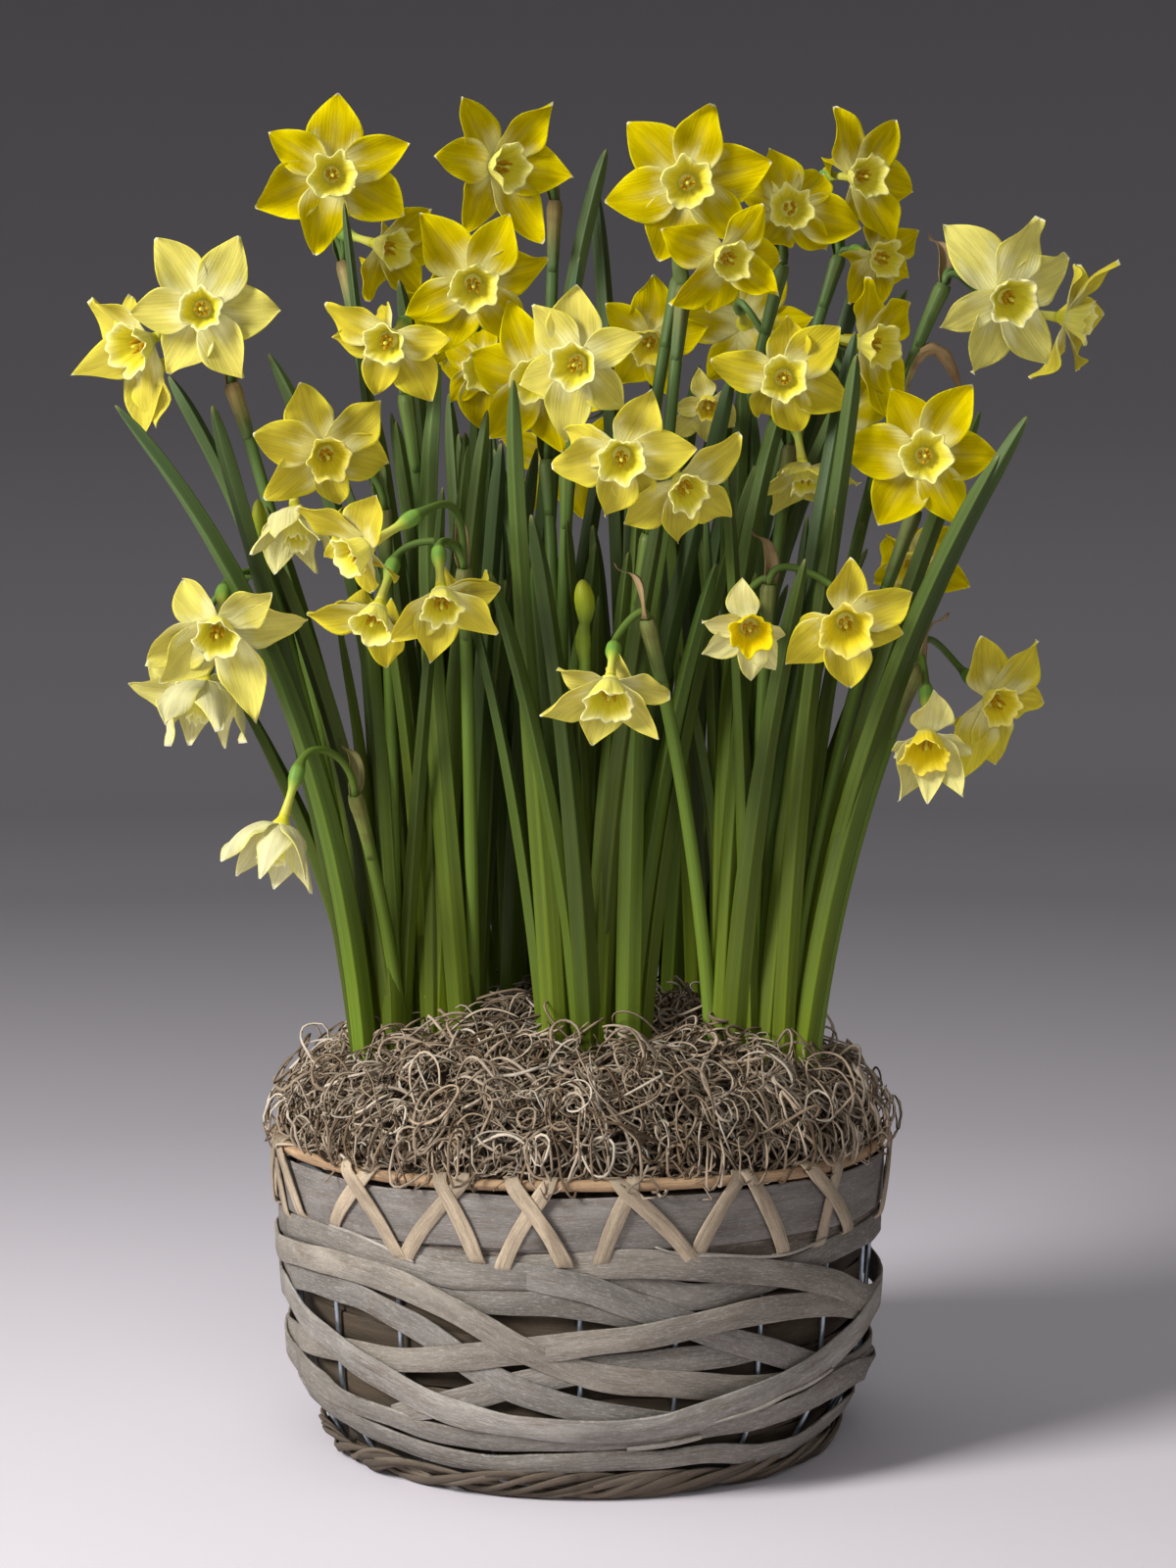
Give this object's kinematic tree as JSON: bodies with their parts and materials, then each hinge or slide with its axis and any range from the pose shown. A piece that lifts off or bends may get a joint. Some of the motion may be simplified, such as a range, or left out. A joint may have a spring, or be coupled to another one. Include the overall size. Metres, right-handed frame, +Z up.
{
  "type": "basket of daffodils",
  "caption": "Round woven cane basket on a wire cage, filled with potting soil and moss and planted with clumps of yellow cluster daffodils in full bloom.",
  "frame": {"origin": "middle of the basket's underside, on the surface that it stands on", "axes": "+Z up, out of the basket; the front of the planting is -Y and its right side is +X"},
  "size_m": [0.3928, 0.2659, 0.5389],
  "materials": {
    "cane": "weathered grey split cane, matt",
    "weave": "dark rough cane, matt",
    "band": "flat grey splint with long grain",
    "hoop": "peeled tan rod, satin",
    "lashing": "pale flat cane, matt",
    "wire": "dull galvanised wire",
    "film": "thin dark liner film",
    "soil": "dark crumbly potting soil",
    "moss": "dry curly grey-brown moss threads",
    "bulb": "papery brown bulb skin",
    "leaf": "smooth blue-green leaves and stems, brown papery sheaths",
    "petal": "soft lemon-yellow petals with deeper yellow cups"
  },
  "bodies": {
    "root": {"basket_base": "cane", "foot_waling": "weave", "wire_stakes": "wire", "inner_weave": "weave", "woven_strips": "cane", "top_band": "band", "rim_hoop": "hoop", "rim_lashing": "lashing", "liner_film": "film", "potting_soil": "soil", "moss_mat": "moss", "bulbs_left": "bulb", "greens_left": "leaf", "bulbs_front": "bulb", "greens_front": "leaf", "bulbs_right": "bulb", "greens_right": "leaf", "bulbs_back_left": "bulb", "greens_back_left": "leaf", "bulbs_back_right": "bulb", "greens_back_right": "leaf", "blooms_29_30_31": "petal", "blooms_21_22": "petal", "blooms_15_16": "petal", "blooms_37_38": "petal", "bloom_01": "petal", "bloom_02": "petal", "bloom_03": "petal", "bloom_04": "petal", "bloom_05": "petal", "bloom_06": "petal", "bloom_07": "petal", "bloom_08": "petal", "bloom_09": "petal", "bloom_10": "petal", "bloom_11": "petal", "bloom_12": "petal", "bloom_13": "petal", "bloom_14": "petal", "bloom_17": "petal", "bloom_18": "petal", "bloom_19": "petal", "bloom_20": "petal", "bloom_23": "petal", "bloom_24": "petal", "bloom_25": "petal", "bloom_26": "petal", "bloom_27": "petal", "bloom_28": "petal", "bloom_32": "petal", "bloom_33": "petal", "bloom_34": "petal", "bloom_35": "petal", "bloom_36": "petal", "bloom_39": "petal", "bloom_40": "petal", "bloom_41": "petal", "bloom_42": "petal", "bloom_43": "petal", "bloom_44": "petal"}
  },
  "joints": []
}
